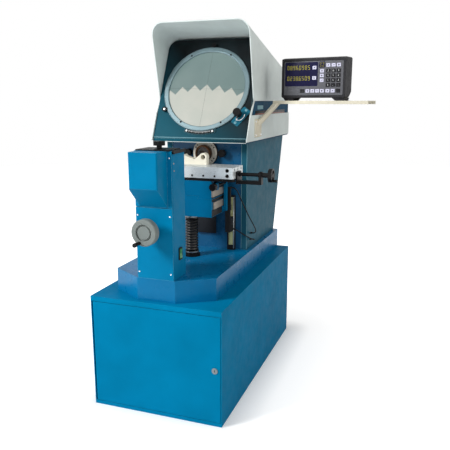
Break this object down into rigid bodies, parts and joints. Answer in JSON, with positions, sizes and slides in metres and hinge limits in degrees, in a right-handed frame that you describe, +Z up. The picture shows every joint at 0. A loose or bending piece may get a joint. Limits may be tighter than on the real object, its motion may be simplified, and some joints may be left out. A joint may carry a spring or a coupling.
{
  "type": "optical comparator",
  "caption": "Floor-standing horizontal-beam profile projector: lamp column, three-axis stage, rotating hooded screen, cabinet base and digital readout on a side arm.",
  "frame": {"origin": "on the floor under the middle of the cabinet", "axes": "+X to the operator's right, front towards -Y, +Z up"},
  "size_m": [0.988, 1.279, 1.539],
  "materials": {
    "blue_paint": "semi-gloss enamel",
    "deep_blue_paint": "satin enamel",
    "pale_grey_paint": "satin enamel",
    "cream_paint": "satin enamel",
    "ivory_paint": "fine textured paint",
    "grey_paint": "satin enamel",
    "black_metal": "black oxide",
    "steel": "ground",
    "silver_plate": "satin chrome plated",
    "chrome": "polished",
    "black_plastic": "moulded",
    "charcoal_plastic": "fine grain",
    "pale_key": "satin",
    "black_key": "satin",
    "bellows_rubber": "matt",
    "cable_jacket": "satin",
    "green_plastic": "gloss",
    "ground_glass": "frosted",
    "clear_glass": "polished",
    "mirror_silver": "front silvered",
    "anodised_brown": "anodised"
  },
  "bodies": {
    "root": {"cabinet_shell": "blue_paint", "base_casting": "blue_paint", "body_frame": "blue_paint", "body_cover": "blue_paint", "head_casting": "deep_blue_paint", "head_lower_cover": "pale_grey_paint", "hood": "pale_grey_paint", "screen_panel": "deep_blue_paint", "drive_plate": "blue_paint", "rear_mirror": "mirror_silver", "mirror_cradle": "steel", "lens_flange": "cream_paint", "lens_barrel": "anodised_brown", "optics_glass": "clear_glass", "lamp_column": "blue_paint", "column_front_cover": "blue_paint", "lamp_house_cover": "blue_paint", "lamp_house_lid": "black_metal", "halogen_lamp": "steel", "collimator_barrel": "black_metal", "switch_bezel": "black_plastic", "drive_chain": "steel", "screw_bearing": "black_metal", "lift_bellows": "bellows_rubber", "knee_rail": "steel", "scale_housing": "black_plastic", "readout_arm": "ivory_paint", "readout_housing": "charcoal_plastic", "readout_keys_pale": "pale_key", "readout_keys_black": "black_key", "signal_cable_x": "cable_jacket", "signal_cable_y": "cable_jacket"},
    "door": {"cabinet_door": "blue_paint"},
    "lock": {"door_lock": "chrome"},
    "lift_handwheel": {"lift_handwheel": "grey_paint"},
    "lift_grip": {"lift_grip": "black_plastic"},
    "cross_shaft": {"cross_shaft": "steel"},
    "lift_screw": {"lift_screw": "steel"},
    "knee": {"knee": "blue_paint", "knee_way_bars": "steel", "y_reader_head": "black_plastic"},
    "saddle": {"saddle": "blue_paint", "saddle_way_bars": "steel"},
    "focus_knob": {"focus_knob": "black_plastic"},
    "table": {"table": "silver_plate", "table_base": "black_metal", "vee_rest": "cream_paint"},
    "x_handwheel": {"x_handwheel": "black_plastic"},
    "x_grip": {"x_grip": "black_plastic"},
    "screen": {"screen_ring": "silver_plate", "screen_glass": "ground_glass"},
    "guide_roller_top": {"guide_roller_top": "black_plastic"},
    "guide_roller_left": {"guide_roller_left": "black_plastic"},
    "screen_drive_knob": {"screen_drive_knob": "black_plastic"},
    "screen_clamp_lever": {"screen_clamp_lever": "chrome"},
    "power_rocker": {"power_rocker": "green_plastic"},
    "filter_lever": {"filter_lever": "black_metal"},
    "lid_knob": {"lid_knob": "black_plastic"},
    "lens_knob_left": {"lens_knob_left": "black_plastic"},
    "lens_knob_right": {"lens_knob_right": "black_plastic"}
  },
  "joints": [
    {"name": "door_swing", "type": "hinge", "parent": "root", "child": "door", "pos_m": [-0.261, -0.506, 0.2285], "axis": [0, 0, -1], "range_deg": [0, 95]},
    {"name": "lock_turn", "type": "hinge", "parent": "door", "child": "lock", "pos_m": [0.248, -0.515, 0.2285], "axis": [0, 1, 0], "range_deg": [0, 90]},
    {"name": "knee_lift", "type": "slide", "parent": "root", "child": "knee", "axis": [0, 0, 1], "range_m": [-0.051, 0.051], "deforming": ["lift_bellows", "signal_cable_x", "signal_cable_y"]},
    {"name": "focus_slide", "type": "slide", "parent": "knee", "child": "saddle", "axis": [0, 1, 0], "range_m": [-0.025, 0.025]},
    {"name": "table_traverse", "type": "slide", "parent": "saddle", "child": "table", "axis": [1, 0, 0], "range_m": [-0.1015, 0.1015]},
    {"name": "x_wheel", "type": "hinge", "parent": "table", "child": "x_handwheel", "pos_m": [0.353, -0.12, 0.916], "axis": [1, 0, 0], "range_deg": [-7310, 7310]},
    {"name": "x_grip_spin", "type": "hinge", "parent": "x_handwheel", "child": "x_grip", "pos_m": [0.353, -0.12, 0.894], "axis": [1, 0, 0], "continuous": true},
    {"name": "focus_turn", "type": "hinge", "parent": "saddle", "child": "focus_knob", "pos_m": [0.121, -0.178, 0.8666], "axis": [0, 1, 0], "range_deg": [-1802, 1802]},
    {"name": "lift_wheel", "type": "hinge", "parent": "root", "child": "lift_handwheel", "pos_m": [-0.006, -0.565, 0.746], "axis": [0, 1, 0], "range_deg": [-3675, 3675]},
    {"name": "lift_grip_spin", "type": "hinge", "parent": "lift_handwheel", "child": "lift_grip", "pos_m": [-0.02375, -0.565, 0.70793], "axis": [0, 1, 0], "continuous": true},
    {"name": "cross_shaft_turn", "type": "hinge", "parent": "root", "child": "cross_shaft", "pos_m": [-0.006, -0.4275, 0.5065], "axis": [0, 1, 0], "range_deg": [-3675, 3675]},
    {"name": "lift_screw_turn", "type": "hinge", "parent": "root", "child": "lift_screw", "pos_m": [-0.006, -0.12, 0.6], "axis": [0, 0, 1], "range_deg": [-3675, 3675]},
    {"name": "screen_turn", "type": "hinge", "parent": "root", "child": "screen", "pos_m": [0, 0.049, 1.262], "axis": [0, -0.9063, 0.4226], "continuous": true},
    {"name": "roller_top_turn", "type": "hinge", "parent": "root", "child": "guide_roller_top", "pos_m": [0.0072, 0.13617, 1.44895], "axis": [0, -0.9063, 0.4226], "continuous": true},
    {"name": "roller_left_turn", "type": "hinge", "parent": "root", "child": "guide_roller_left", "pos_m": [-0.18052, 0.00671, 1.17131], "axis": [0, -0.9063, 0.4226], "continuous": true},
    {"name": "screen_drive_turn", "type": "hinge", "parent": "root", "child": "screen_drive_knob", "pos_m": [0.1686, -0.00277, 1.15098], "axis": [0, -0.9063, 0.4226], "continuous": true},
    {"name": "clamp_lever_swing", "type": "hinge", "parent": "root", "child": "screen_clamp_lever", "pos_m": [0.1686, -0.00277, 1.15098], "axis": [0, -0.9063, 0.4226], "range_deg": [0, 35]},
    {"name": "rocker_tilt", "type": "hinge", "parent": "root", "child": "power_rocker", "pos_m": [0.077, -0.427, 0.644], "axis": [0, 1, 0], "range_deg": [-8, 8]},
    {"name": "filter_swing", "type": "hinge", "parent": "root", "child": "filter_lever", "pos_m": [0.0754, -0.476, 1.032], "axis": [1, 0, 0], "range_deg": [0, 40]},
    {"name": "lid_knob_turn", "type": "hinge", "parent": "root", "child": "lid_knob", "pos_m": [0, -0.431, 1.04], "axis": [0, 0, 1], "range_deg": [0, 720]},
    {"name": "lens_knob_left_turn", "type": "hinge", "parent": "root", "child": "lens_knob_left", "pos_m": [-0.081, 0.045, 0.985], "axis": [0, 1, 0], "range_deg": [0, 360]},
    {"name": "lens_knob_right_turn", "type": "hinge", "parent": "root", "child": "lens_knob_right", "pos_m": [0.081, 0.045, 0.985], "axis": [0, 1, 0], "range_deg": [0, 360]}
  ],
  "couplings": [
    {"joint": "x_wheel", "follows": "table_traverse", "rad_per_m": 1256.6},
    {"joint": "focus_turn", "follows": "focus_slide", "rad_per_m": 1256.6},
    {"joint": "lift_wheel", "follows": "knee_lift", "rad_per_m": 1256.6},
    {"joint": "cross_shaft_turn", "follows": "knee_lift", "rad_per_m": 1256.6},
    {"joint": "lift_screw_turn", "follows": "knee_lift", "rad_per_m": 1256.6},
    {"joint": "roller_top_turn", "follows": "screen_turn", "ratio": -24.75},
    {"joint": "roller_left_turn", "follows": "screen_turn", "ratio": -24.75},
    {"joint": "screen_drive_turn", "follows": "screen_turn", "ratio": -19.8}
  ]
}
